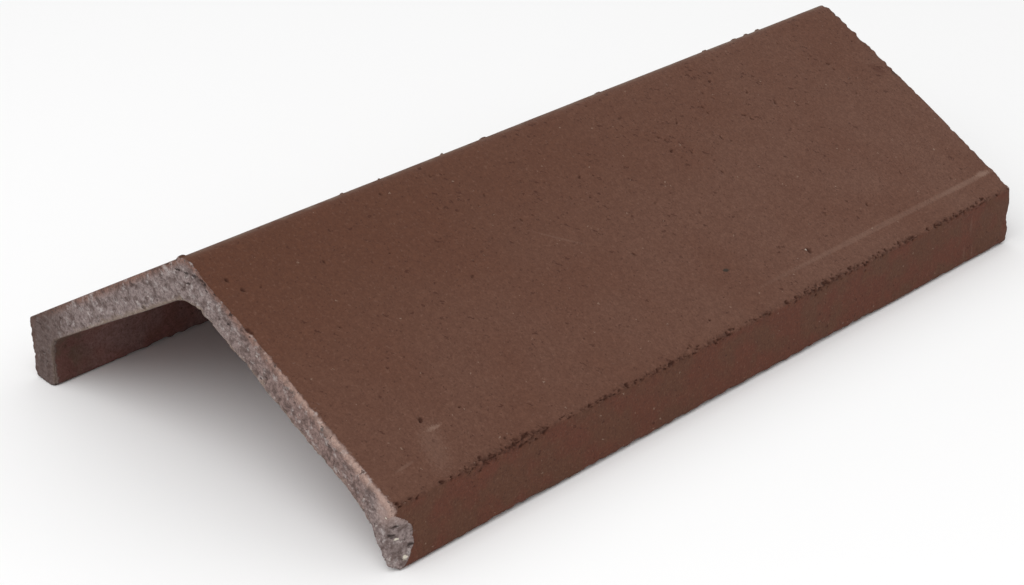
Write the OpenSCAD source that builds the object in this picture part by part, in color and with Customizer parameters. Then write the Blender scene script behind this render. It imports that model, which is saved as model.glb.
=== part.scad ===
// Saddle coping tile: one extruded length of fired clay with a gabled section.
// Two slopes meet in a rounded ridge and end in hanging flanges, whose feet drip clear of the wall below.
// The length runs along Y, the section lies in the XZ plane, and the feet stand at Z = 0.

/* [Tile] */
// Length of the tile, from one cut end to the other
tile_length = 300; // [200:5:450]
// Width over the outer faces of both flanges
tile_width = 170; // [140:5:320]
// Pitch of the upper slopes, in degrees
slope_pitch = 30; // [15:1:40]

/* [Walls] */
// Height of a flange, from its foot up to the arris where its slope starts
flange_height = 21.5; // [18:0.5:45]
// Thickness of a flange
flange_wall = 11; // [9:0.5:16]
// Thickness of a slope where it leaves the flange, square to the slope
eave_wall = 10; // [8:0.5:12]
// Depth of clay at the ridge, plumb, before the ridge and the soffit are rounded
ridge_depth = 13.5; // [11:0.5:20]

/* [Rounded edges] */
// Radius of the ridge
ridge_radius = 6; // [2:0.5:10]
// Radius of the arris between a slope and its flange
arris_radius = 1; // [0.5:0.25:4]
// Radius of the outer edge of a foot
drip_radius = 2; // [0.5:0.25:4]
// Radius of the inner edge of a foot
heel_radius = 1.5; // [0.5:0.25:3]
// Radius of the hollow under the ridge
hollow_radius = 16; // [4:0.5:24]
// Radius of the hollow corner between a flange and its soffit
corner_radius = 9; // [2:0.5:12]

/* [Hidden] */
$fn = 128;

// How far a spandrel runs on past its corner, as a multiple of its own depth from the arc's centre
overrun = 1.1;
// How far an arc stands proud of its sides
hair = 0.0005;

half_width = tile_width / 2;
hollow_half = half_width - flange_wall;
ridge_height = flange_height + half_width * tan(slope_pitch);

// The soffit falls from under the ridge to the point where a slope has its eave thickness.
soffit_ridge = ridge_height - ridge_depth;
soffit_eave = flange_height + flange_wall * tan(slope_pitch) - eave_wall / cos(slope_pitch);

// Corners of the section, counter-clockwise from the left foot, each as [x, height, radius]
section_corners = [
    [-half_width, 0, drip_radius],
    [-hollow_half, 0, heel_radius],
    [-hollow_half, soffit_eave, corner_radius],
    [0, soffit_ridge, hollow_radius],
    [hollow_half, soffit_eave, corner_radius],
    [hollow_half, 0, heel_radius],
    [half_width, 0, drip_radius],
    [half_width, flange_height, arris_radius],
    [0, ridge_height, ridge_radius],
    [-half_width, flange_height, arris_radius],
];

function point(corner) = [corner.x, corner.y];
function radius(corner) = corner[2];
function unit(v) = v / norm(v);

// A neighbour of corner i, counted round the outline
function neighbour(corners, i, step) = point(corners[(i + step + len(corners)) % len(corners)]);

// Directions from corner i to the corners before and after it
function before(corners, i) = unit(neighbour(corners, i, -1) - point(corners[i]));
function after(corners, i) = unit(neighbour(corners, i, 1) - point(corners[i]));

// Half of the angle between the two sides that meet at corner i
function half_angle(corners, i) = acos(before(corners, i) * after(corners, i)) / 2;

// The two points where the arc of corner i touches the sides, in outline order
function touch_points(corners, i) =
    let (reach = radius(corners[i]) / tan(half_angle(corners, i)))
    [for (side = [before(corners, i), after(corners, i)]) point(corners[i]) + reach * side];

function arc_centre(corners, i) =
    let (middle = unit(before(corners, i) + after(corners, i)))
    point(corners[i]) + middle * radius(corners[i]) / sin(half_angle(corners, i));

// On a counter-clockwise outline, an outward corner turns to the left.
function is_outward(corners, i) = cross(-before(corners, i), after(corners, i)) > 0;

// A wedge that fans out from the arc's centre past corner i, counter-clockwise like the outline
function wedge(corners, i) =
    let (
        centre = arc_centre(corners, i),
        touch = touch_points(corners, i),
        first = is_outward(corners, i) ? 0 : 1,
        fan = [touch[first], point(corners[i]), touch[1 - first]]
    )
    [centre, for (p = fan) centre + overrun * (p - centre)];

// The spandrel between the arc of corner i and the two sides that meet there.
// It runs on past the sides, and its arc is a hair proud, so the sides cross both instead of touching them.
module spandrel(corners, i) {
    difference() {
        polygon(wedge(corners, i));
        translate(arc_centre(corners, i)) circle(radius(corners[i]) + hair);
    }
}

// A flat outline whose corners are true arcs: an inward corner is filled with its spandrel,
// and an outward one loses it.
module rounded_outline(corners) {
    indices = [0:len(corners) - 1];
    difference() {
        union() {
            polygon([for (corner = corners) point(corner)]);
            for (i = indices)
                if (!is_outward(corners, i)) spandrel(corners, i);
        }
        for (i = indices)
            if (is_outward(corners, i)) spandrel(corners, i);
    }
}

// The whole tile: the section drawn through the die, cut off square at both ends
module tile() {
    color("#66483d")
        rotate([90, 0, 0])
            linear_extrude(tile_length, center = true)
                rounded_outline(section_corners);
}

tile();
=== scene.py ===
# %% [markdown]
# # A worn clay coping tile
# The real object is one length of clay, pressed through a die, cut off with a wire and fired.
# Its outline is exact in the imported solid, but a die-drawn tile also has torn edges, pits, chips and
# rough cut ends. This lesson folds a fine lattice of points into the same section with numpy, wears the
# lattice as handling wore the tile, and gives it one clay finish that knows skin from bare clay.

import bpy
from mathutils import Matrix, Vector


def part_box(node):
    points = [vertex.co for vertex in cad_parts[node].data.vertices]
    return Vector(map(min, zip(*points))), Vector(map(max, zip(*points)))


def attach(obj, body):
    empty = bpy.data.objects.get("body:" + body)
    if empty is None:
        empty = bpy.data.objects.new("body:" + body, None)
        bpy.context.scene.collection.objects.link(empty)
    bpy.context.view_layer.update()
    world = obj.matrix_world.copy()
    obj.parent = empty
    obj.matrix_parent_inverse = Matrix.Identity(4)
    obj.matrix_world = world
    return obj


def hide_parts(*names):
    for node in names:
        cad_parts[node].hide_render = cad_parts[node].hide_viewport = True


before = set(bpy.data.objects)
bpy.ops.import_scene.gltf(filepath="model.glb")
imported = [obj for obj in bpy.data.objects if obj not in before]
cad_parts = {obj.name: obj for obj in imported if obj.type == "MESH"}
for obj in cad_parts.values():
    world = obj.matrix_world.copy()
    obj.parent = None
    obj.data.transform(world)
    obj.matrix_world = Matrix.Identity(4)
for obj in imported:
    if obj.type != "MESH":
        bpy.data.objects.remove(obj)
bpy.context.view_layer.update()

# %% Units and the tile's box
import itertools
import math

import bpy
import numpy as np
from mathutils import Matrix, Vector

MM = 0.001
low, high = (np.array(corner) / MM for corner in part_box("tile"))
WIDTH, LENGTH, HEIGHT = high - low
NEAR, FAR = low[1], high[1]
print(f"the tile's box is {WIDTH:.1f} x {LENGTH:.1f} x {HEIGHT:.2f} mm")

# %% [markdown]
# ## Camera
# The photograph looks down on the near end with a long lens. The place and angles below come from lining up
# the solid's corners and edges with the picture, so the model and the photograph share one outline. A camera
# could also be aimed by a constraint, but a matrix made of three directions holds the small roll as well.

# %% Camera
IMAGE_WIDTH = 1024
FOCAL_PIXELS = 2304.65
SENSOR = 36
CAMERA_PLACE = Vector((0.48735, -0.50632, 0.35205))
YAW, PITCH_DOWN, ROLL = (math.radians(angle) for angle in (44.8546, 26.2640, 0.69996))

ahead = Vector((
    -math.sin(YAW) * math.cos(PITCH_DOWN), math.cos(YAW) * math.cos(PITCH_DOWN), -math.sin(PITCH_DOWN)))
level = Vector((math.cos(YAW), math.sin(YAW), 0))
down = ahead.cross(level)
right = math.cos(ROLL) * level + math.sin(ROLL) * down
up = math.sin(ROLL) * level - math.cos(ROLL) * down

lens = bpy.data.cameras.new("photo_camera")
lens.sensor_fit = "HORIZONTAL"
lens.sensor_width = SENSOR
lens.lens = SENSOR * FOCAL_PIXELS / IMAGE_WIDTH
camera = bpy.data.objects.new("photo_camera", lens)
turn_to_photo = Matrix((right, up, -ahead)).transposed().to_4x4()
camera.matrix_world = Matrix.Translation(CAMERA_PLACE) @ turn_to_photo
bpy.context.scene.collection.objects.link(camera)
bpy.context.scene.camera = camera
print(f"camera lens {lens.lens:.1f} mm")

# %% [markdown]
# ## Node helpers
# Materials are graphs of nodes. A few small helpers keep the graphs readable: they add a node and fill its
# sockets, do arithmetic, mix two colours and fade between two values. Colours are written as the 0 to 255
# values that a picture editor shows, and are turned into the linear values that a shader works with.

# %% Node helpers
def paint(red, green, blue):
    """Linear colour for display values from 0 to 255, by the standard display curve."""
    shown = np.array([red, green, blue]) / 255
    linear = np.where(shown <= 0.04045, shown / 12.92, ((shown + 0.055) / 1.055) ** 2.4)
    return (*linear.tolist(), 1.0)


def fill(tree, made, inputs):
    """Links each input from a socket, or sets it to a value."""
    for name, value in inputs.items():
        if isinstance(value, bpy.types.NodeSocket):
            tree.links.new(value, made.inputs[name])
        else:
            made.inputs[name].default_value = value


def add(tree, kind, inputs=None, **settings):
    """Adds a node with its settings and fills its inputs."""
    made = tree.nodes.new(kind)
    for name, value in settings.items():
        setattr(made, name, value)
    fill(tree, made, inputs or {})
    return made


def sums(tree, operation, first, second=0.0, clamp=False):
    """Output of a Math node."""
    inputs = {0: first, 1: second}
    return add(tree, "ShaderNodeMath", inputs, operation=operation, use_clamp=clamp).outputs[0]


def mix(tree, factor, first, second):
    """Output of a Mix node between two colours."""
    return add(tree, "ShaderNodeMix", {0: factor, 6: first, 7: second}, data_type="RGBA").outputs[2]


def fade(tree, value, start, end):
    """0 where the value is at start, 1 where it is at end, smooth between."""
    inputs = {"Value": value, "From Min": start, "From Max": end}
    return add(tree, "ShaderNodeMapRange", inputs, interpolation_type="SMOOTHSTEP").outputs[0]


print("node helpers ready")

# %% [markdown]
# ## Floor and light
# The photograph has a white ground and even light with no hard shadow. A pale floor stands under the tile,
# a white world fills from all round, and one broad lamp overhead makes the slopes lighter than the flanges.
# Several lamps could do the same, but a white world leaves no second shadow on the floor.

# %% Floor
FLOOR_HALF = 6.0
FLOOR_WHITE = (0.93, 0.93, 0.93, 1)
FLOOR_ROUGHNESS = 0.9

floor_mesh = bpy.data.meshes.new("studio_floor")
floor_corners = FLOOR_HALF * np.array([[-1, -1, 0], [1, -1, 0], [1, 1, 0], [-1, 1, 0]])
floor_mesh.from_pydata(floor_corners.tolist(), [], [(0, 1, 2, 3)])
floor = bpy.data.objects.new("studio_floor", floor_mesh)
bpy.context.scene.collection.objects.link(floor)

floor_paint = bpy.data.materials.new("white_floor")
floor_paint.use_nodes = True
floor_shader = floor_paint.node_tree.nodes["Principled BSDF"]
floor_shader.inputs["Base Color"].default_value = FLOOR_WHITE
floor_shader.inputs["Roughness"].default_value = FLOOR_ROUGHNESS
floor_shader.inputs["Specular IOR Level"].default_value = 0.0
floor_mesh.materials.append(floor_paint)
print("floor", 2 * FLOOR_HALF, "m square")

# %% World and lamp
SKY_STRENGTH = 0.78
LAMP_PLACE = Vector((0.4, -1.0, 1.6))
LAMP_SIZE = 1.6
LAMP_POWER = 16.0

world = bpy.data.worlds.new("white_studio")
world.use_nodes = True
sky = world.node_tree
sky.nodes.clear()
ray = add(sky, "ShaderNodeLightPath").outputs
seen = sums(sky, "MAXIMUM", ray["Is Camera Ray"], ray["Is Glossy Ray"])
seen = sums(sky, "MAXIMUM", seen, ray["Is Transmission Ray"])
strength = sums(sky, "MULTIPLY", seen, 1 - SKY_STRENGTH)
strength = sums(sky, "ADD", strength, SKY_STRENGTH)
backdrop = add(sky, "ShaderNodeBackground", {"Color": (1, 1, 1, 1), "Strength": strength})
add(sky, "ShaderNodeOutputWorld", {"Surface": backdrop.outputs[0]})
bpy.context.scene.world = world

lamp_data = bpy.data.lights.new("soft_lamp", "AREA")
lamp_data.energy = LAMP_POWER
lamp_data.size = LAMP_SIZE
lamp = bpy.data.objects.new("soft_lamp", lamp_data)
lamp.location = LAMP_PLACE
lamp.rotation_mode = "QUATERNION"
lamp.rotation_quaternion = (-LAMP_PLACE).to_track_quat("-Z", "Y")
bpy.context.scene.collection.objects.link(lamp)
bpy.context.scene.view_settings.view_transform = "Standard"
print("lamp", LAMP_POWER, "W, world", SKY_STRENGTH)

# %% [markdown]
# ## Section
# The die gives the tile its section: two slopes, a rounded ridge and two hanging flanges. The solid's own
# mesh could be cut finer, but its long thin triangles leave little to wear. So the section is drawn anew: its
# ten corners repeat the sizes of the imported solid, in millimetres, and each is rounded by a true arc.

# %% Section sizes
PITCH = math.radians(30)
FLANGE_HEIGHT, FLANGE_WALL = 21.5, 11
EAVE_WALL, RIDGE_DEPTH = 10, 13.5
RIDGE_RADIUS, ARRIS_RADIUS, DRIP_RADIUS = 6, 1, 2
HEEL_RADIUS, HOLLOW_RADIUS, CORNER_RADIUS = 1.5, 16, 9

half_width = WIDTH / 2
hollow_half = half_width - FLANGE_WALL
ridge_height = FLANGE_HEIGHT + half_width * math.tan(PITCH)
soffit_ridge = ridge_height - RIDGE_DEPTH
soffit_eave = FLANGE_HEIGHT + FLANGE_WALL * math.tan(PITCH) - EAVE_WALL / math.cos(PITCH)
SECTION = np.array([
    [-half_width, 0, DRIP_RADIUS],
    [-hollow_half, 0, HEEL_RADIUS],
    [-hollow_half, soffit_eave, CORNER_RADIUS],
    [0, soffit_ridge, HOLLOW_RADIUS],
    [hollow_half, soffit_eave, CORNER_RADIUS],
    [hollow_half, 0, HEEL_RADIUS],
    [half_width, 0, DRIP_RADIUS],
    [half_width, FLANGE_HEIGHT, ARRIS_RADIUS],
    [0, ridge_height, RIDGE_RADIUS],
    [-half_width, FLANGE_HEIGHT, ARRIS_RADIUS],
])
print(f"sharp ridge at {ridge_height:.2f} mm, soffit at {soffit_ridge:.2f} mm")

# %% Rounded corners
ARC_STEPS = 33
MIDDLE = ARC_STEPS // 2


def corner_arc(before, corner, after):
    """Arc of the corner's radius that touches both sides: its two radius vectors are blended by sines."""
    point, radius = corner[:2], corner[2]
    back = (before[:2] - point) / np.linalg.norm(before[:2] - point)
    onward = (after[:2] - point) / np.linalg.norm(after[:2] - point)
    half_angle = math.acos(back @ onward) / 2
    bisector = (back + onward) / np.linalg.norm(back + onward)
    centre = point + bisector * radius / math.sin(half_angle)
    first = point + back * radius / math.tan(half_angle) - centre
    last = point + onward * radius / math.tan(half_angle) - centre
    turn = math.pi - 2 * half_angle
    share = np.linspace(0, 1, ARC_STEPS)[:, None]
    return centre + (np.sin((1 - share) * turn) * first + np.sin(share * turn) * last) / math.sin(turn)


def spaced_path(pieces, shares):
    """Points at the given shares of the length along the arcs and the straight runs between them."""
    path = np.concatenate(pieces)
    gone = np.concatenate([[0], np.cumsum(np.linalg.norm(np.diff(path, axis=0), axis=1))])
    spaced = [np.interp(shares * gone[-1], gone, path[:, axis]) for axis in (0, 1)]
    return np.stack(spaced, axis=1), gone[-1]


corners_after = np.roll(SECTION, -1, axis=0)
arcs = [corner_arc(SECTION[i - 1], SECTION[i], corners_after[i]) for i in range(len(SECTION))]
print(len(arcs), "arcs of", ARC_STEPS, "points")

# %% [markdown]
# ## The lattice
# The wall of the tile is a long strip: an outer skin and an inner skin that run from the left foot over the
# ridge to the right foot, and two feet that close it. A Coons patch fills the strip from those four edges.
# Carried along the length, it makes a closed box of points folded into a tile. Remeshing the solid would also
# give fine faces, but here each point knows its place round, through and along the wall, and wear needs that.

# %% Steps round the section
ROUND_COUNT, THROUGH_COUNT, ALONG_COUNT = 461, 27, 721
FINE_GAIN, FINE_REACH = 2.0, 3.0
CROWD_STEPS = 4 * ROUND_COUNT

path_length = 2 * (FLANGE_HEIGHT + half_width / math.cos(PITCH))
arris_share, crowd_share = FLANGE_HEIGHT / path_length, FINE_REACH / path_length
even = np.linspace(0, 1, CROWD_STEPS)
arris_gap = np.minimum(np.abs(even - arris_share), np.abs(1 - even - arris_share))
crowd = np.cumsum(1 + FINE_GAIN * np.exp(-(arris_gap / crowd_share) ** 2))
crowd = (crowd - crowd[0]) / (crowd[-1] - crowd[0])
round_shares = np.interp(np.linspace(0, 1, ROUND_COUNT), crowd, even)
through_shares = np.linspace(0, 1, THROUGH_COUNT)
print(ROUND_COUNT, "steps round, closest at the arrises")

# %% Coons patch of the section
(left_drip, left_heel, left_corner, hollow, right_corner,
 right_heel, right_drip, right_arris, ridge, left_arris) = arcs
outer_arcs = [
    left_drip[MIDDLE::-1], left_arris[::-1], ridge[::-1], right_arris[::-1], right_drip[:MIDDLE - 1:-1]]
inner_arcs = [left_heel[MIDDLE:], left_corner, hollow, right_corner, right_heel[:MIDDLE + 1]]
outer, outer_length = spaced_path(outer_arcs, round_shares)
inner, _ = spaced_path(inner_arcs, round_shares)
left_foot, _ = spaced_path([left_drip[MIDDLE:], left_heel[:MIDDLE + 1]], through_shares)
right_foot, _ = spaced_path([right_drip[MIDDLE::-1], right_heel[:MIDDLE - 1:-1]], through_shares)

round_part = round_shares[:, None, None]
through_part = through_shares[None, :, None]
ruled = (1 - through_part) * outer[:, None] + through_part * inner[:, None]
patch = ruled + (1 - round_part) * (left_foot - ruled[0]) + round_part * (right_foot - ruled[-1])
print("section grid", patch.shape[:2], f"outer path {outer_length:.1f} mm")

# %% Points of the shell
shell = np.zeros((ROUND_COUNT, THROUGH_COUNT, ALONG_COUNT), bool)
shell[[0, -1]] = shell[:, [0, -1]] = shell[:, :, [0, -1]] = True
round_i, through_i, along_i = np.nonzero(shell)
number = np.full(shell.shape, -1, np.int32)
number[shell] = np.arange(len(round_i))

section_points = patch[round_i, through_i]
lengthwise = np.linspace(NEAR, FAR, ALONG_COUNT)[along_i]
points = np.stack([section_points[:, 0], lengthwise, section_points[:, 1]], axis=1)
on_end = (along_i == 0) | (along_i == ALONG_COUNT - 1)
on_outer, on_inner = through_i == 0, through_i == THROUGH_COUNT - 1


def quads(sheet):
    """Corner numbers of each square of a sheet of points, turned as the sheet is."""
    return np.stack([sheet[:-1, :-1], sheet[1:, :-1], sheet[1:, 1:], sheet[:-1, 1:]], axis=-1).reshape(-1, 4)


faces = np.concatenate([
    quads(number[:, 0]), quads(number[::-1, -1]),
    quads(number[0, ::-1]), quads(number[-1]),
    quads(number[::-1, :, 0]), quads(number[:, :, -1]),
])
print(len(points), "points and", len(faces), "squares")

# %% Depth below each skin
FOOT_INWARD = [0.0, 1.0]


def outward(path):
    """Unit normals on the left of a path, from the difference of its neighbouring points."""
    step = np.gradient(path, axis=0)
    step /= np.linalg.norm(step, axis=1, keepdims=True)
    return np.stack([-step[:, 1], step[:, 0]], axis=1)


depths = np.stack([
    np.linalg.norm(section_points - outer[round_i], axis=1),
    np.linalg.norm(section_points - inner[round_i], axis=1),
    np.minimum(round_shares, 1 - round_shares)[round_i] * outer_length,
])
nearest_skin = depths.argmin(axis=0)
skin_depth = depths.min(axis=0)
foot_inward = np.broadcast_to(FOOT_INWARD, (len(points), 2))
inward = np.choose(nearest_skin[:, None], [-outward(outer)[round_i], outward(inner)[round_i], foot_inward])
from_near, from_far = points[:, 1] - NEAR, FAR - points[:, 1]
end_depth = np.minimum(from_near, from_far)
round_place = (round_shares[round_i] - 0.5) * outer_length
through_place = through_shares[through_i] * FLANGE_WALL
print(f"wall {np.linalg.norm(outer - inner, axis=1).min():.1f} mm at its thinnest")

# %% [markdown]
# ## Chance
# Wear looks real when it is uneven. Smooth noise blends random numbers on a lattice, and gives slow waves or
# fine roughness by its size. Strewn dimples are round pits, one to a square cell, kept only where luck
# allows. Blender's Displace modifier has such noise too, but arrays let one noise steer another. Both draw
# from seeded tables, so the tile comes out the same each time.

# %% Noise and dimples
TABLE = 64


def smooth_noise(places, size, seed):
    """Random numbers from -1 to 1 at lattice points, blended by the curve 3f^2 - 2f^3 between them."""
    table = np.random.default_rng(seed).uniform(-1, 1, (TABLE,) * 3)
    scaled = places / size
    cell = np.floor(scaled).astype(np.int64)
    part = scaled - cell
    part = part * part * (3 - 2 * part)
    total = np.zeros(len(places))
    for corner in itertools.product((0, 1), repeat=3):
        weight = np.prod(np.where(corner, part, 1 - part), axis=1)
        total += weight * table[tuple(((cell + corner) % TABLE).T)]
    return total


def dimples(across, along, cell, radii, chance, seed):
    """Depth of round pits: radius * (1 - (distance / radius)^2), the deepest of the nine cells around."""
    draw = np.random.default_rng(seed).uniform(size=(4, TABLE, TABLE))
    i, j = np.floor(across / cell).astype(np.int64), np.floor(along / cell).astype(np.int64)
    deepest = np.zeros(len(across))
    for di, dj in itertools.product((-1, 0, 1), repeat=2):
        place_i, place_j, size, luck = draw[:, (i + di) % TABLE, (j + dj) % TABLE]
        radius = radii[0] + (radii[1] - radii[0]) * size ** 2
        distance = np.hypot(across - (i + di + place_i) * cell, along - (j + dj + place_j) * cell)
        pit = radius * np.clip(1 - (distance / radius) ** 2, 0, None)
        deepest = np.maximum(deepest, np.where(luck < chance, pit, 0))
    return deepest


def rise(value, start, end):
    """0 below start, 1 above end, and the curve 3f^2 - 2f^3 between."""
    part = np.clip((value - start) / (end - start), 0, 1)
    return part * part * (3 - 2 * part)


print("noise table", TABLE, "cubed")

# %% [markdown]
# ## Sag and waves
# Soft clay moves before it is fired. The feet are a little higher in the middle of the length than at the
# ends, and the faces are not quite flat. A bend by a curve or a lattice modifier would carry the ends along
# with it, so the points are moved instead, and only inwards, which keeps the tile inside its box.

# %% Sag and waves
FOOT_RISE, SAG_START, SAG_END = 0.5, (15, 55), (190, 268)
RAGGED_LONG, RAGGED_SHORT, RAGGED_START = 0.35, 0.5, (6, 30)
WAVE, RIPPLE, WAVE_STRETCH = 0.2, 0.04, 2.5
ON_SKIN = 1e-6

lift = FOOT_RISE * rise(from_near, *SAG_START) * (1 - rise(from_near, *SAG_END))
ragged_lift = RAGGED_LONG * smooth_noise(points, size=9, seed=11)
ragged_lift += RAGGED_SHORT * smooth_noise(points, size=2.5, seed=12)
lift += ragged_lift
lift = np.clip(lift, 0, None) * rise(from_near, *RAGGED_START)
points[:, 2] += lift * np.clip(1 - points[:, 2] / FLANGE_HEIGHT, 0, 1)

stretched = points / np.array([1.0, WAVE_STRETCH, 1.0])
wave = WAVE * (0.5 + 0.5 * smooth_noise(stretched, size=26, seed=13))
wave += RIPPLE * (1 + smooth_noise(stretched, size=5, seed=14))
points[:, [0, 2]] += inward * np.where(skin_depth < ON_SKIN, wave, 0)[:, None]
print(f"waves up to {wave.max():.2f} mm, feet up to {lift.max():.2f} mm")

# %% [markdown]
# ## Pits
# As clay leaves the die, its skin drags and tears. The upper slope is strewn with short pits, and the arris
# above each flange is torn into a broken row of small ones. Bump in the material could hint at them, but true
# hollows also break the outline. Noise bends the places that the dimples are worked out from, so that no pit
# is round. The pits that stand out in the photograph are listed one by one.

# %% Pits on the slopes
PIT_CELL, PIT_RADII = 4.0, (0.25, 0.75)
UPPER_CHANCE, LOWER_CHANCE, UPPER_END = 0.13, 0.02, (25, 60)
NEAR_SHARE, NEAR_END = 0.35, (50, 110)
PATCH_LEAST, PATCH_GAIN, PATCH_LEVEL = 0.4, 0.9, 0.4
BEND, BEND_SIZE = 0.9, 1.3

on_skin = on_outer & ~on_end
bent_round = round_place + BEND * smooth_noise(points, BEND_SIZE, seed=21)
bent_along = points[:, 1] + BEND * smooth_noise(points, BEND_SIZE, seed=22)
pit_chance = LOWER_CHANCE + (UPPER_CHANCE - LOWER_CHANCE) * (1 - rise(np.abs(round_place), *UPPER_END))
pit_chance *= NEAR_SHARE + (1 - NEAR_SHARE) * rise(from_near, *NEAR_END)
pit_patches = np.clip(smooth_noise(points, size=22, seed=23) + PATCH_LEVEL, 0, 1)
pit_chance *= PATCH_LEAST + PATCH_GAIN * pit_patches
pits = np.where(on_skin, dimples(bent_round, bent_along, PIT_CELL, PIT_RADII, pit_chance, seed=24), 0)
print(f"{np.mean(pits[on_skin] > 0.1):.2%} of the skin is pitted, {pits.max():.2f} mm deep at most")

# %% Single pits that the photograph shows
# Each row: place along from the near end, place down from the ridge, radius.
KNOWN_PITS = [
    (183, 30, 0.8), (183, 24, 0.6), (231, 21, 0.7), (214, 15, 0.5), (239, 29, 0.6), (208, 36, 0.6),
    (220, 38, 0.6), (222, 29, 0.6), (224, 31, 0.5), (209, 23, 0.6), (195, 20, 0.5), (175, 12, 0.6),
    (140, 34, 0.6), (133, 32, 0.6), (147, 28, 0.5), (160, 46, 0.5), (172, 55, 0.6), (137, 59, 0.6),
    (194, 45, 0.6), (236, 79, 0.7), (261, 74, 0.5), (279, 84, 0.5), (29, 78, 1.0), (43, 79, 0.7),
    (198.6, 84.4, 0.7), (7, 12, 0.9), (9, 17, 0.9), (275, 23, 0.6), (110, 32, 0.8), (105, 19, 0.6),
    (28, 41, 0.6), (79, 43, 0.6), (1, 30, 1.0),
]


def bowl(gap_down, gap_along, radius):
    """1 - (distance / radius)^2 from the gaps down and along to a place, and 0 outside the radius."""
    reach = np.hypot(gap_down, gap_along) / radius
    return np.clip(1 - reach ** 2, 0, None)


for along, down_slope, radius in KNOWN_PITS:
    pit = radius * bowl(bent_round - down_slope, bent_along - NEAR - along, radius)
    pits = np.maximum(pits, np.where(on_skin, pit, 0))
print(len(KNOWN_PITS), "known pits")

# %% Torn row along each arris
ARRIS_CELL, ARRIS_RADII = 1.2, (0.3, 0.95)
ARRIS_BAND, BOLD_BAND = 0.95, 0.7
BOLD_RUNS, BOLD_FALL = [(24, 68), (176, 204)], 10
BUNCH_SIZE, BUNCH_RISE, BUNCH_PLACE = 10, (-0.6, 0.3), [7, 0, 3]
ROW_CHANCE, BUNCH_CHANCE, ROW_TEAR = 0.3, 0.75, 0.35
PIT_DEPTH = 0.8

arris_place = (0.5 - arris_share) * outer_length
from_arris = np.abs(round_place) - arris_place
bold = sum(
    rise(from_near, start, start + BOLD_FALL) * (1 - rise(from_near, end - BOLD_FALL, end))
    for start, end in BOLD_RUNS)
row = np.exp(-(from_arris / (ARRIS_BAND + BOLD_BAND * bold)) ** 2)
along_only = points * np.array([0, 1, 0]) + BUNCH_PLACE
bunches = np.maximum(rise(smooth_noise(along_only, BUNCH_SIZE, seed=31), *BUNCH_RISE), bold)
row_chance = row * (ROW_CHANCE + BUNCH_CHANCE * bunches)
torn = np.where(on_skin, row * (ROW_TEAR + (1 - ROW_TEAR) * bunches), 0)
torn_row = dimples(bent_round, bent_along, ARRIS_CELL, ARRIS_RADII, row_chance, seed=32)
pits = np.maximum(pits, np.where(on_skin, torn_row, 0))
points[:, [0, 2]] += inward * (PIT_DEPTH * pits)[:, None]
print(f"arris torn {torn_row[on_skin].max():.2f} mm deep, {arris_place:.1f} mm down from the ridge")

# %% Crumbs along the ridge
# Each row: place along from the middle of the length, radius, height. They stand proud of the rounded ridge.
CRUMB_PLACE = -3.3
CRUMBS = [
    (-148.8, 1.7, 0.75), (-86, 0.8, 0.4), (-71, 0.7, 0.4), (-44, 0.9, 0.5), (-26, 0.7, 0.4),
    (28, 0.8, 0.4), (84, 0.8, 0.45), (100, 0.7, 0.4), (107, 1.0, 0.5), (113, 0.8, 0.5)]
CRUMB_DARK = 0.8

crumb = np.zeros(len(points))
for along, radius, height in CRUMBS:
    crumb = np.maximum(crumb, height * np.sqrt(bowl(bent_round - CRUMB_PLACE, bent_along - along, radius)))
crumb = np.where(on_outer, crumb, 0)
points[:, [0, 2]] -= inward * crumb[:, None]
pits = np.maximum(pits, CRUMB_DARK * crumb)
print(len(CRUMBS), "crumbs")

# %% [markdown]
# ## Cut ends
# A wire cut drags grains of grog out of the clay and leaves a rough face with voids. Handling then rounds the
# edges: a point at depths a and b from two faces goes to the arc of radius r round (r, r), and r varies along
# the edge, with a larger chip here and there. A Bevel modifier rounds edges too, but with one even width.

# %% Rough faces
ROUGH, ROUGH_SIZE = 0.5, 9
GRAIN, GRAIN_SIZE, GRIT_SIZE = 0.26, 1.7, 0.8
VOID_CELL, VOID_RADII, VOID_CHANCE, VOID_DEPTH = 3.2, (0.3, 1.1), 0.45, 0.9
FAR_PLACE = [0, 20, 45, 65, 85, 96, 100, 105, 110, 113, 118]
FAR_RECESS = [0.9, 0.6, 0.0, 0.0, 0.2, 0.2, 0.0, 0.3, 1.3, 0.0, 0.2]
FAR_RAGGED = 0.6
END_FALL = 6.0

near_relief = ROUGH * (0.5 + 0.5 * smooth_noise(points, ROUGH_SIZE, seed=41))
near_relief += GRAIN * (1 + smooth_noise(points, GRAIN_SIZE, seed=42))
near_relief += GRAIN * smooth_noise(points, GRIT_SIZE, seed=43)
far_relief = np.interp(np.abs(round_place), FAR_PLACE, FAR_RECESS)
far_relief += FAR_RAGGED * (smooth_noise(points, size=1.4, seed=45) + smooth_noise(points, size=2.8, seed=46))
end_voids = dimples(round_place, through_place, VOID_CELL, VOID_RADII, VOID_CHANCE, seed=44) * on_end
is_far = from_far < from_near
end_relief = np.clip(np.where(is_far, far_relief, near_relief), 0, None) + VOID_DEPTH * end_voids
toward_middle = np.where(is_far, -1.0, 1.0)
points[:, 1] += toward_middle * end_relief * np.clip(1 - end_depth / END_FALL, 0, 1)
print(f"ends up to {end_relief[on_end].max():.2f} mm rough")

# %% How far each end edge is worn
WORN_LEAST, WORN_MOST, WORN_SIZE = 0.3, 1.3, 3
CHIP_CELL, CHIP_RADII, CHIP_CHANCE = 3.6, (0.5, 1.8), 0.5
CHIP_OUTER, CHIP_INNER, INNER_EXTRA = 1.2, 1.0, 1.0
RUBBED_START, RUBBED_END, RUBBED_EXTRA = (8, 80), (98, 106), 1.6
FAR_WORN = 0.5
SKINS_APART = 50.0

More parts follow.
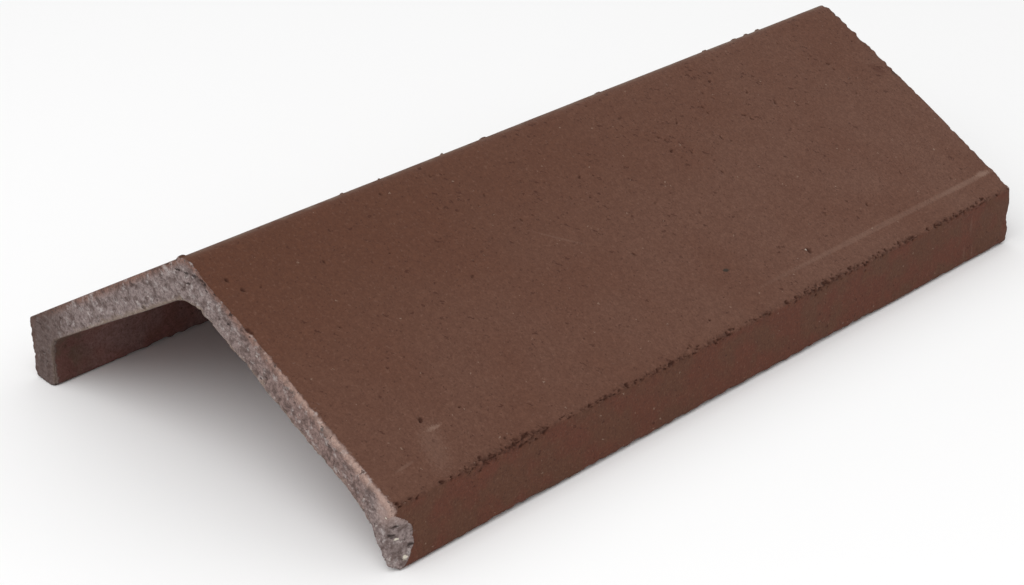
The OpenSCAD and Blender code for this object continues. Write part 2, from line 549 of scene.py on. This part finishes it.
worn = WORN_LEAST + (WORN_MOST - WORN_LEAST) * (0.5 + 0.5 * smooth_noise(points, WORN_SIZE, seed=51)) ** 2
chip_place = nearest_skin * SKINS_APART + skin_depth
chips = dimples(round_place, chip_place, CHIP_CELL, CHIP_RADII, CHIP_CHANCE, seed=52)
inner_edge = nearest_skin == 1
rubbed_share = rise(round_place, *RUBBED_START) * (1 - rise(round_place, *RUBBED_END))
rubbed_edge = np.where(~is_far & (nearest_skin == 0), rubbed_share, 0)
worn += np.where(inner_edge, CHIP_INNER, CHIP_OUTER) * chips
worn += INNER_EXTRA * inner_edge + RUBBED_EXTRA * rubbed_edge
worn *= np.where(is_far, FAR_WORN, 1)
print(f"edges worn {worn[end_depth < 1].mean():.2f} mm on average")

# %% Worn end edges
BARE_REACH, RIM_REACH = 1.25, 1.2
LEAST_REACH = 1e-6

edge_a, edge_b = skin_depth - worn, end_depth - worn
pull = worn / np.maximum(np.hypot(edge_a, edge_b), LEAST_REACH) - 1
pull = np.where((edge_a < 0) & (edge_b < 0), np.minimum(pull, 0), 0)
points[:, [0, 2]] += inward * (edge_a * pull)[:, None]
points[:, 1] += toward_middle * edge_b * pull
bare = np.where(on_end, 1.0, np.clip(BARE_REACH - end_depth / worn, 0, 1))
edge_band = np.clip(RIM_REACH - skin_depth / worn, 0, 1) * np.clip(RIM_REACH - end_depth / worn, 0, 1)
lip = edge_band * inner_edge
rim = edge_band * rubbed_edge
print(f"{np.mean(bare > 0.5):.1%} of the points lie on bare clay")

# %% [markdown]
# ## Broken corner
# A flake has come off the right flange at the near end, and the heel of its foot is broken away. A Boolean
# cut would leave clean planes. Here each break is a slanted face: a point that lies outside the plane between
# two cut lengths is moved back to it, and the cut lengths shrink to nothing at the rim of the break.

# %% Flake
FLAKE_DEPTH, FLAKE_LENGTH = 3.5, 8.5
FLAKE_MIDDLE, FLAKE_HALF = 8.6, 10.7
FLAKE_ROUGH, FLAKE_SIZE = 0.12, 2.5
FLANGE_MARGIN = 1

flake_height = (points[:, 2] - FLAKE_MIDDLE) / FLAKE_HALF
flake = np.sqrt(np.clip(1 - flake_height ** 2, 0, 1))
flake += FLAKE_ROUGH * smooth_noise(points, FLAKE_SIZE, seed=61)
flake -= (half_width - points[:, 0]) / FLAKE_DEPTH + (points[:, 1] - NEAR) / FLAKE_LENGTH
on_right_flange = points[:, 0] > hollow_half - FLANGE_MARGIN
flake = np.where(on_right_flange, np.clip(flake, 0, 1), 0)
points[:, 0] -= flake * FLAKE_DEPTH / 2
points[:, 1] += flake * FLAKE_LENGTH / 2
print(f"flake {flake.max() * FLAKE_DEPTH / 2:.1f} mm deep at its middle")

# %% Broken heel
HEEL_LENGTH, HEEL_RISE, HEEL_POWER = 8.0, 19.0, 1.35
HEEL_ROUGH, HEEL_SIZE, HEEL_LEAST = 0.15, 2.0, 0.02
BREAK_EDGE = (0.0, 0.05)

across_flange = np.clip((half_width - points[:, 0]) / FLANGE_WALL, HEEL_LEAST, 1)
heel_rise = HEEL_RISE * across_flange ** HEEL_POWER
heel = 1 + HEEL_ROUGH * smooth_noise(points, HEEL_SIZE, seed=62)
heel = heel - points[:, 2] / heel_rise - (points[:, 1] - NEAR) / HEEL_LENGTH
heel = np.where(on_right_flange, np.clip(heel, 0, 1), 0)
points[:, 1] += heel * HEEL_LENGTH / 2
points[:, 2] += heel * heel_rise / 2
broken = np.maximum(rise(flake, *BREAK_EDGE), rise(heel, *BREAK_EDGE))
bare = np.maximum(bare, broken)
rim, lip = rim * (1 - broken), lip * (1 - broken)
print(f"heel broken {heel.max() * HEEL_LENGTH / 2:.1f} mm back")

# %% [markdown]
# ## Mesh
# The arrays go into a mesh in one step, and what the wear steps found out goes along as attributes, so that
# the finish can tell skin, rim and bare clay apart. The flat runs have far more points than they need. A
# coarser lattice would lose the pits, so a Decimate modifier thins it where it is flat, and its result is
# kept.

# %% Mesh from the arrays
PIT_DARK = 0.6

points = np.clip(points, low, high)
dense = bpy.data.meshes.new("dense_tile")
dense.vertices.add(len(points))
dense.vertices.foreach_set("co", (points * MM).astype(np.float32).ravel())
dense.loops.add(faces.size)
dense.loops.foreach_set("vertex_index", faces.astype(np.int32).ravel())
dense.polygons.add(len(faces))
dense.polygons.foreach_set("loop_start", np.arange(0, faces.size, 4, dtype=np.int32))
dense.update(calc_edges=True)
# The "pit" value grows with the depth of each pit and the height of each crumb; the finish darkens the clay
# by it.
stored = {
    "bare": bare, "pit": np.clip(pits / PIT_DARK, 0, 1), "torn": torn, "under": on_inner,
    "depth": np.maximum(depths[0], FLAKE_DEPTH * broken), "rim": rim, "lip": lip}
for label, values in stored.items():
    dense.attributes.new(label, "FLOAT", "POINT").data.foreach_set("value", values.astype(np.float32))
print("dense mesh:", len(dense.polygons), "faces and", len(stored), "attributes")

# %% Thin the mesh
TRIANGLES = 190_000

draft = bpy.data.objects.new("draft_tile", dense)
bpy.context.scene.collection.objects.link(draft)
thin = draft.modifiers.new("thin", "DECIMATE")
thin.ratio = TRIANGLES / (2 * len(faces))
evaluated = draft.evaluated_get(bpy.context.evaluated_depsgraph_get())
finished = bpy.data.meshes.new_from_object(evaluated)
bpy.data.objects.remove(draft)
bpy.data.meshes.remove(dense)
kept_points = np.empty(3 * len(finished.vertices), np.float32)
finished.vertices.foreach_get("co", kept_points)
kept_points = np.clip(kept_points.reshape(-1, 3), low * MM, high * MM)
finished.vertices.foreach_set("co", kept_points.astype(np.float32).ravel())
finished.update()
print("finished mesh:", len(finished.polygons), "faces")

# %% The tile stands for its solid
finished.name = "clay_tile"
finished.shade_smooth()
tile = bpy.data.objects.new("clay_tile", finished)
bpy.context.scene.collection.objects.link(tile)
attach(tile, "root")
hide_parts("tile")
print(tile.name, "rides on root")

# %% [markdown]
# ## Node groups
# Two effects come back many times in the clay: loose grains, dark or pale, and single rubbed or torn marks.
# Each is a node group with named sockets, built once and placed with its own values. Grains come from Voronoi
# cells whose places are bent by noise, since a bare cell would show as a round dot.

# %% Group for strewn grains
WOBBLE_RATE = 2.2
GRAIN_LEAST, GRAIN_SPREAD = 0.18, 0.25
GRAIN_EDGE = 12.0


def node_group(name, inputs, outputs):
    """A shader node group with named inputs of the given kinds and named outputs, and its input sockets."""
    group = bpy.data.node_groups.new(name, "ShaderNodeTree")
    for label, kind in inputs.items():
        group.interface.new_socket(label, in_out="INPUT", socket_type=kind)
    for label in outputs:
        group.interface.new_socket(label, in_out="OUTPUT", socket_type="NodeSocketFloat")
    return group, add(group, "NodeGroupInput").outputs


def vectors(tree, operation, inputs):
    """Output of a Vector Math node."""
    return add(tree, "ShaderNodeVectorMath", inputs, operation=operation).outputs[0]


grains, given = node_group(
    "Strewn grains", {"Vector": "NodeSocketVector", "Size": "NodeSocketFloat", "Share": "NodeSocketFloat"},
    ["Mask", "Shade"])
cell_rate = sums(grains, "DIVIDE", 1.0, given["Size"])
wobble_scale = sums(grains, "MULTIPLY", cell_rate, WOBBLE_RATE)
wobble_inputs = {"Vector": given["Vector"], "Scale": wobble_scale, "Detail": 0.0}
wobble = add(grains, "ShaderNodeTexNoise", wobble_inputs).outputs["Color"]
wobble = vectors(grains, "SUBTRACT", {0: wobble, 1: (0.5, 0.5, 0.5)})
wobble = vectors(grains, "SCALE", {0: wobble, "Scale": given["Size"]})
bent_vector = vectors(grains, "ADD", {0: given["Vector"], 1: wobble})
cells = add(grains, "ShaderNodeTexVoronoi", {"Vector": bent_vector, "Scale": cell_rate}).outputs
luck = add(grains, "ShaderNodeSeparateColor", {0: cells["Color"]}).outputs
chosen = sums(grains, "LESS_THAN", luck[0], given["Share"])
grain_radius = sums(grains, "ADD", sums(grains, "MULTIPLY", luck[1], GRAIN_SPREAD), GRAIN_LEAST)
grain_edge = sums(grains, "SUBTRACT", grain_radius, cells["Distance"])
grain_edge = sums(grains, "MULTIPLY", grain_edge, GRAIN_EDGE, clamp=True)
add(grains, "NodeGroupOutput", {"Mask": sums(grains, "MULTIPLY", grain_edge, chosen), "Shade": luck[2]})
print("group", grains.name)

# %% Group for rubbed marks
MARK_SOCKETS = [
    "Along", "Down", "Middle Along", "Middle Down", "Half Length", "Half Width", "Slant", "Ragged"]
MARK_GRIT = 1.5
MARK_OUTSIDE, MARK_INSIDE = 1.15, 0.45

rubbed, given = node_group("Rubbed mark", dict.fromkeys(MARK_SOCKETS, "NodeSocketFloat"), ["Mask"])
gap_along = sums(rubbed, "SUBTRACT", given["Along"], given["Middle Along"])
gap_down = sums(rubbed, "SUBTRACT", given["Down"], given["Middle Down"])
gap = add(rubbed, "ShaderNodeCombineXYZ", {0: gap_along, 1: gap_down}).outputs[0]
turn_inputs = {"Vector": gap, "Angle": given["Slant"]}
turned = add(rubbed, "ShaderNodeVectorRotate", turn_inputs, rotation_type="Z_AXIS").outputs[0]
half_sizes = {0: given["Half Length"], 1: given["Half Width"], 2: 1.0}
half_sizes = add(rubbed, "ShaderNodeCombineXYZ", half_sizes).outputs[0]
ratio = vectors(rubbed, "DIVIDE", {0: turned, 1: half_sizes})
span = add(rubbed, "ShaderNodeVectorMath", {0: ratio}, operation="LENGTH").outputs["Value"]
mark_grit = add(rubbed, "ShaderNodeTexNoise", {"Vector": gap, "Scale": MARK_GRIT, "Detail": 1.0}).outputs[0]
mark_grit = sums(rubbed, "MULTIPLY", sums(rubbed, "SUBTRACT", mark_grit, 0.5), given["Ragged"])
span = sums(rubbed, "ADD", span, mark_grit)
add(rubbed, "NodeGroupOutput", {"Mask": fade(rubbed, span, MARK_OUTSIDE, MARK_INSIDE)})
print("group", rubbed.name)

# %% [markdown]
# ## Clay
# The finish has two parts. The skin is a smooth chocolate brown that the die and the fire gave it, redder at
# the ridge and on the flanges. Where it is broken the body shows: grey-pink clay with pale grog and voids.
# Two materials could meet at a line, but a torn edge has no line, so one material fades from skin to body.

# %% Clay material
clay = bpy.data.materials.new("fired_clay")
clay.use_nodes = True
nodes = clay.node_tree
nodes.nodes.clear()
place = add(nodes, "ShaderNodeTexCoord").outputs["Object"]
place = vectors(nodes, "SCALE", {0: place, "Scale": 1 / MM})
axes = add(nodes, "ShaderNodeSeparateXYZ", {0: place}).outputs


def attribute(name):
    """Value that the wear steps stored on the mesh."""
    return add(nodes, "ShaderNodeAttribute", attribute_name=name).outputs["Fac"]


def times(first, second):
    """Product of two values of the clay."""
    return sums(nodes, "MULTIPLY", first, second)


def ramp(value, start, end):
    """0 where a value of the clay is at start, 1 where it is at end, smooth between."""
    return fade(nodes, value, start, end)


def coat(base, colour, cover):
    """A colour laid over a base: cover is 0 where the base shows and 1 where the colour hides it."""
    return mix(nodes, cover, base, colour)


print("clay material started")

# %% Patches of the clay
def mottle(size, detail=2.0, roughness=0.55):
    """Noise from 0 to 1 whose patches are about size millimetres wide."""
    inputs = {"Vector": place, "Scale": 1 / size, "Detail": detail, "Roughness": roughness}
    return add(nodes, "ShaderNodeTexNoise", inputs).outputs[0]


def patches(size, start, end, **noise):
    """Mottle turned into patches: 0 where the noise is at start, 1 where it is at end."""
    return ramp(mottle(size, **noise), start, end)


def mottled(base, coats):
    """Coats in patches over a base, each a size, detail, roughness, start, end, weight and colour."""
    for size, detail, roughness, start, end, weight, colour in coats:
        cover = patches(size, start, end, detail=detail, roughness=roughness)
        base = coat(base, colour, times(cover, weight))
    return base


print("patches ready")

# %% [markdown]
# ## Skin
# The fire browned the skin unevenly, and the hollow stayed paler, with darker olive and red patches on its
# left flange towards the near end. Coats of colour are laid over one another like thin washes, each with a
# mask of where it shows. An image could hold all of this, but noise in millimetres has no pixels and no
# seams, and each wash can be changed on its own.

# %% Skin of the slopes and flanges
RIDGE_BROWN, SLOPE_BROWN, FAR_BROWN = paint(89, 56, 41), paint(100, 69, 56), paint(113, 82, 69)
FLANGE_RED, FLANGE_BROWN, CLOUD_BROWN = paint(97, 56, 43), paint(92, 61, 46), paint(92, 56, 41)
FAR_WEIGHT, CLOUD_WEIGHT = 0.6, 0.35
BROWN_RISE, FLANGE_TOP = (5.0, 70.0), (22.0, 20.5)

from_ridge = sums(nodes, "ABSOLUTE", axes["X"])
on_flange = ramp(axes["Z"], *FLANGE_TOP)
skin = coat(RIDGE_BROWN, SLOPE_BROWN, ramp(from_ridge, *BROWN_RISE))
skin = coat(skin, FAR_BROWN, times(ramp(axes["Y"], NEAR, FAR), FAR_WEIGHT))
flange = coat(FLANGE_RED, FLANGE_BROWN, patches(11.0, 0.4, 0.62))
skin = coat(skin, flange, on_flange)
skin = coat(skin, CLOUD_BROWN, times(patches(30.0, 0.35, 0.7), CLOUD_WEIGHT))
print("slopes and flanges painted")

# %% Skin of the hollow
HOLLOW_GREY, HOLLOW_RED = paint(137, 107, 103), paint(131, 91, 85)
DARK_OLIVE, DARK_RED = paint(88, 70, 60), paint(100, 68, 63)
DARKER_ALONG, DARKER_ACROSS = (NEAR + 22.0, NEAR + 5.0), (-55.0, -70.0)

under = attribute("under")
inside = coat(HOLLOW_GREY, HOLLOW_RED, patches(16.0, 0.4, 0.62))
darker_patches = coat(DARK_OLIVE, DARK_RED, patches(7.0, 0.4, 0.6))
darker_share = times(ramp(axes["Y"], *DARKER_ALONG), ramp(axes["X"], *DARKER_ACROSS))
# The hollow's left flange is made darker towards the near end, in olive and red patches.
inside = coat(inside, darker_patches, darker_share)
skin = coat(skin, inside, under)
print("hollow painted")

# %% Fine mottle and painted sheen on the ridge
SKIN_MOTTLE = [
    (2.2, 3.0, 0.7, 0.7, 0.35, 0.28, paint(72, 44, 34)),
    (0.8, 2.0, 0.7, 0.6, 0.35, 0.34, paint(70, 42, 32)),
    (1.0, 2.0, 0.55, 0.55, 0.8, 0.3, paint(124, 94, 80)),
]
RIDGE_SHEEN, RIDGE_SHEEN_WEIGHT = paint(134, 120, 106), 0.38
SHEEN_RIGHT, SHEEN_LEFT = (1.0, -2.0), (-14.0, -3.0)

skin = mottled(skin, SKIN_MOTTLE)
# A pale streak down the left side of the ridge is painted sheen, the grazing reflection along the rounded
# ridge.
ridge_sheen = times(ramp(axes["X"], *SHEEN_RIGHT), ramp(axes["X"], *SHEEN_LEFT))
ridge_sheen = times(ridge_sheen, patches(7.0, 0.3, 0.7))
skin = coat(skin, RIDGE_SHEEN, times(ridge_sheen, RIDGE_SHEEN_WEIGHT))
print(len(SKIN_MOTTLE), "mottles and the ridge's dust")

# %% [markdown]
# ## Specks and marks
# The die drew torn grains out into dashes that lie aslant on the slope, and finer specks are strewn over all
# of the skin. The dashes are the same grains in coordinates shortened along one direction, which makes each
# grain long. The marks that stand out in the photograph are listed one by one: a rubbed line above the
# arris, scuffs, a sooty spot, a stain and a fleck of lime.

# %% Dark dashes in the skin
ALONG_PER_DOWN = 1.2
ASLANT = Vector((math.cos(PITCH), ALONG_PER_DOWN, -math.sin(PITCH))).normalized()
DASH = 0.45
DASH_DARK, DASH_SIZE, DASH_SHARE, DASH_WEIGHT = paint(58, 28, 18), 1.35, 0.34, 0.55
UPPER_FALL, NEAR_RISE, LOWER_CROWD = (55.0, 15.0), (-120.0, -40.0), 0.35


def strewn(size, share, vector):
    """Mask and shade of grains, one for every cell of the size, kept by their share."""
    made = add(nodes, "ShaderNodeGroup", node_tree=grains)
    fill(nodes, made, {"Vector": vector, "Size": size, "Share": share})
    return made.outputs


dash_inputs = {0: place, 1: ASLANT}
reach_aslant = add(nodes, "ShaderNodeVectorMath", dash_inputs, operation="DOT_PRODUCT").outputs["Value"]
shortened = vectors(nodes, "SCALE", {0: DASH * ASLANT, "Scale": reach_aslant})
dash_place = vectors(nodes, "SUBTRACT", {0: place, 1: shortened})
upper = times(ramp(from_ridge, *UPPER_FALL), ramp(axes["Y"], *NEAR_RISE))
crowding = times(patches(14.0, 0.4, 0.65), sums(nodes, "ADD", upper, LOWER_CROWD))
dashes = strewn(DASH_SIZE, times(crowding, DASH_SHARE), dash_place)["Mask"]
skin = coat(skin, DASH_DARK, times(dashes, DASH_WEIGHT))
print("dashes strewn")

# %% Specks and smudges in the skin
SPECK_DARK, SPECK_SIZE, SPECK_WEIGHT = paint(58, 31, 22), 0.85, 0.5
SLOPE_SPECKS, FLANGE_SPECKS = 0.18, 0.34
SMUDGE_DARK, SMUDGE_WEIGHT = paint(55, 32, 23), 0.75
PALE_SPECK, PALE_SIZE, PALE_SHARE, PALE_WEIGHT = paint(165, 145, 128), 1.0, 0.008, 0.32

speck_share = times(sums(nodes, "MAXIMUM", on_flange, under), FLANGE_SPECKS)
speck_share = sums(nodes, "ADD", speck_share, SLOPE_SPECKS)
specks = strewn(SPECK_SIZE, speck_share, place)["Mask"]
skin = coat(skin, SPECK_DARK, times(specks, SPECK_WEIGHT))
smudge = times(attribute("torn"), patches(1.3, 0.38, 0.62, detail=3.0))
skin = coat(skin, SMUDGE_DARK, times(smudge, SMUDGE_WEIGHT))
pale_specks = strewn(PALE_SIZE, PALE_SHARE, place)["Mask"]
skin = coat(skin, PALE_SPECK, times(pale_specks, PALE_WEIGHT))
print("specks strewn")

# %% Marks on the right slope
# Each row: place along from the near end, place down from the ridge, half length, half width, slant,
# raggedness, weight, colour.
DUST, SOOT = paint(150, 124, 110), paint(42, 40, 34)
STAIN, LIME = paint(66, 34, 25), paint(190, 178, 166)
MARKS = [
    (240, 88.5, 75, 1.2, 0.0, 0.9, 0.14, DUST),
    (284, 88.6, 18, 1.3, 0.0, 0.9, 0.14, DUST),
    (294, 88.2, 4, 1.3, 0.1, 1.8, 0.35, DUST),
    (276.3, 105, 0.8, 3.5, 0.0, 2.2, 0.09, DUST),
    (273, 114, 0.7, 3.0, 0.0, 2.2, 0.08, DUST),
    (278, 115, 0.6, 3.0, 0.0, 2.2, 0.08, DUST),
    (26, 87, 10, 4.5, 1.97, 2.0, 0.09, DUST),
    (30.3, 81.7, 3.0, 0.8, 0.0, 2.0, 0.34, DUST),
    (13.5, 88.4, 4.5, 0.6, -0.1, 1.2, 0.13, DUST),
    (117, 43.5, 10.5, 0.5, 0.72, 1.4, 0.10, DUST),
    (162.7, 78.1, 1.5, 0.8, 0.2, 0.8, 0.85, SOOT),
    (293.5, 33.5, 4.2, 2.0, 0.9, 1.2, 0.45, STAIN),
    (197.7, 84.0, 0.6, 0.45, 0.0, 1.0, 0.75, LIME),
]
# Pit floors are darkened by depth as painted shade, and crumbs take the same dark as their own colour.
PIT_SHADE_AND_CRUMB_BROWN, PIT_SHADE_AND_CRUMB_WEIGHT = paint(55, 29, 19), 0.88


def mark(first, second, middle, half, slant, ragged):
    """Mask of one mark on a plane of two coordinates, by its middle, its half sizes and its slant."""
    made = add(nodes, "ShaderNodeGroup", node_tree=rubbed)
    fill(nodes, made, {
        "Along": first, "Down": second, "Middle Along": middle[0], "Middle Down": middle[1],
        "Half Length": half[0], "Half Width": half[1], "Slant": -slant, "Ragged": ragged})
    return made.outputs["Mask"]


flange_drop = sums(nodes, "MAXIMUM", sums(nodes, "SUBTRACT", FLANGE_HEIGHT, axes["Z"]), 0.0)
slope_down = sums(nodes, "ADD", sums(nodes, "DIVIDE", axes["X"], math.cos(PITCH)), flange_drop)
outside = sums(nodes, "SUBTRACT", 1.0, under)
for along, down_slope, half_long, half_wide, slant, ragged, weight, tint in MARKS:
    shape = mark(axes["Y"], slope_down, (NEAR + along, down_slope), (half_long, half_wide), slant, ragged)
    skin = coat(skin, tint, times(times(shape, outside), weight))
# Painted shade at the bottom of the pits, and darker crumbs.
skin = coat(skin, PIT_SHADE_AND_CRUMB_BROWN, times(attribute("pit"), PIT_SHADE_AND_CRUMB_WEIGHT))
print(len(MARKS), "marks")

# %% [markdown]
# ## Body
# Bare clay shows at the cut ends and in the breaks. It is pinker below the skin and greyer in the core, with
# crushed fired clay, called grog, as pale grains and with dark voids between them. A gradient along one axis
# could not follow the section round its corners, so the depth below the skin, stored on the mesh, steers it.

# %% Body
CRUST_PINK, CORE_GREY, CRUST_DEPTH = paint(134, 104, 94), paint(146, 131, 128), (0.6, 3.4)
WARM_PINK, WARM_WEIGHT, WARM_START, WARM_END = paint(134, 103, 93), 0.5, (5.0, 45.0), (80.0, 70.0)
RIM_BASE, RIM_BASE_WEIGHT, RIM_PALE, RIM_WEIGHT = paint(176, 150, 138), 0.75, paint(186, 158, 147), 0.35
BODY_MOTTLE = [
    (3.0, 2.0, 0.6, 0.46, 0.66, 0.7, paint(88, 72, 68)),
    (2.4, 2.0, 0.6, 0.53, 0.70, 0.7, paint(178, 168, 165)),
    (0.9, 3.0, 0.7, 0.58, 0.38, 0.5, paint(70, 56, 53)),
]

depth, rim_band = attribute("depth"), attribute("rim")
body = coat(CRUST_PINK, CORE_GREY, ramp(depth, *CRUST_DEPTH))
warm = times(ramp(axes["X"], *WARM_START), ramp(axes["X"], *WARM_END))
body = coat(body, WARM_PINK, times(warm, WARM_WEIGHT))
body = coat(body, RIM_BASE, times(rim_band, RIM_BASE_WEIGHT))
body = mottled(body, BODY_MOTTLE)
body = coat(body, RIM_PALE, times(rim_band, RIM_WEIGHT))
print("body painted")

# %% Flake, lip, grog, voids and a darker left side
FLAKE_PINK, FLAKE_WEIGHT, FLAKE_UP, FLAKE_ACROSS = paint(176, 149, 139), 0.5, (12.5, 19.5), (77.0, 80.5)
LIP_PALE, LIP_WEIGHT = paint(146, 129, 114), 0.7
GROG_PALE, GROG_SIZE, GROG_SHARE, GROG_WEIGHT = paint(200, 191, 185), 1.5, 0.22, 0.7
VOID_DARK, VOID_SIZE, VOID_SHARE, VOID_WEIGHT = paint(54, 40, 37), 1.5, 0.16, 0.75
CRUST_VOIDS, CRUST_FALL = 0.2, (3.0, 1.2)
LEFT_SIDE_BROWN, LEFT_SIDE_WEIGHT, LEFT_SIDE_ACROSS = paint(82, 66, 61), 0.7, (-55.0, -78.0)

flake_top = times(ramp(axes["Z"], *FLAKE_UP), ramp(axes["X"], *FLAKE_ACROSS))
body = coat(body, FLAKE_PINK, times(flake_top, FLAKE_WEIGHT))
body = coat(body, LIP_PALE, times(attribute("lip"), LIP_WEIGHT))
grog = strewn(GROG_SIZE, GROG_SHARE, place)
body = coat(body, GROG_PALE, times(grog["Mask"], times(grog["Shade"], GROG_WEIGHT)))
void_share = sums(nodes, "ADD", times(ramp(depth, *CRUST_FALL), CRUST_VOIDS), VOID_SHARE)
void_specks = strewn(VOID_SIZE, void_share, place)["Mask"]
body = coat(body, VOID_DARK, times(void_specks, VOID_WEIGHT))
# Bare clay is made darker towards the left side.
body = coat(body, LEFT_SIDE_BROWN, times(ramp(axes["X"], *LEFT_SIDE_ACROSS), LEFT_SIDE_WEIGHT))
print("grog and voids strewn")

# %% Drawn-out voids and grog at the near end
# Each row: place across from the middle, height, half length, half width, slant.
DRAWN_VOIDS = [
    (-3.5, 65.0, 1.6, 0.5, 0.0), (0.3, 65.0, 1.5, 0.6, 0.1), (4.2, 65.4, 1.6, 0.7, 0.1),
    (7.4, 65.2, 1.5, 0.6, -0.3), (8.8, 64.2, 0.9, 0.8, -0.8), (1.0, 62.0, 1.0, 0.5, -0.3),
    (9.2, 62.3, 1.0, 0.5, -0.3), (13.2, 62.6, 1.2, 0.5, -0.3), (19.7, 58.4, 0.9, 0.6, -0.5),
    (18.3, 54.9, 0.8, 0.6, 0.0), (82.6, 11.4, 0.4, 1.1, 0.2), (83.3, 14.2, 0.5, 0.5, 0.4),
    (84.4, 7.0, 0.4, 0.7, 0.0),
]
LARGE_GROG = [(83.0, 9.8, 0.35, 0.5, 0.0), (84.2, 3.6, 0.35, 0.8, 0.3), (82.4, 17.7, 0.5, 0.4, 0.0)]
DRAWN_DARK, LARGE_PALE = paint(46, 36, 34), paint(225, 217, 200)
SPOT_RAGGED, SPOT_WEIGHT = 2.0, 0.85
NEAR_END_FALL = (NEAR + 12.0, NEAR + 10.0)

at_near = ramp(axes["Y"], *NEAR_END_FALL)
for spots, tint in ((DRAWN_VOIDS, DRAWN_DARK), (LARGE_GROG, LARGE_PALE)):
    for across, up_place, half_long, half_wide, slant in spots:
        shape = mark(axes["X"], axes["Z"], (across, up_place), (half_long, half_wide), slant, SPOT_RAGGED)
        body = coat(body, tint, times(times(shape, at_near), SPOT_WEIGHT))
print(len(DRAWN_VOIDS), "voids and", len(LARGE_GROG), "grains")

# %% [markdown]
# ## Finish
# Skin and body meet where the wear steps found bare clay, along an edge that noise frays. The finest grain
# is too small for the mesh and is left to bump, deeper on bare clay than on skin. The whole tile is matt, and
# bare clay is the rougher of the two.

# %% Put the finish together
SKIN_GRAIN, BODY_GRAIN = 0.18, 0.7
DASH_SINK, SPECK_SINK = 0.12, 0.06
BARE_EDGE, ROUGHNESS_RISE = (0.25, 0.8), (-2.0, 1.0)
BUMP_STRENGTH, SHINE = 0.8, 0.15

fray = sums(nodes, "SUBTRACT", mottle(1.2, roughness=0.65), 0.5)
bare_mask = ramp(sums(nodes, "ADD", attribute("bare"), fray), *BARE_EDGE)
colour = coat(skin, body, bare_mask)
roughness = ramp(bare_mask, *ROUGHNESS_RISE)
grain = sums(nodes, "ADD", times(bare_mask, BODY_GRAIN), SKIN_GRAIN)
relief = times(mottle(0.6, roughness=0.65), grain)
relief = sums(nodes, "SUBTRACT", relief, times(dashes, DASH_SINK))
relief = sums(nodes, "SUBTRACT", relief, times(specks, SPECK_SINK))
bump = add(nodes, "ShaderNodeBump", {"Strength": BUMP_STRENGTH, "Distance": MM, "Height": relief}).outputs[0]
shader_inputs = {"Base Color": colour, "Roughness": roughness, "Normal": bump}
shader = add(nodes, "ShaderNodeBsdfPrincipled", shader_inputs)
shader.inputs["Specular IOR Level"].default_value = SHINE
add(nodes, "ShaderNodeOutputMaterial", {"Surface": shader.outputs[0]})
finished.materials.clear()
finished.materials.append(clay)
print(len(nodes.nodes), "nodes in the clay")
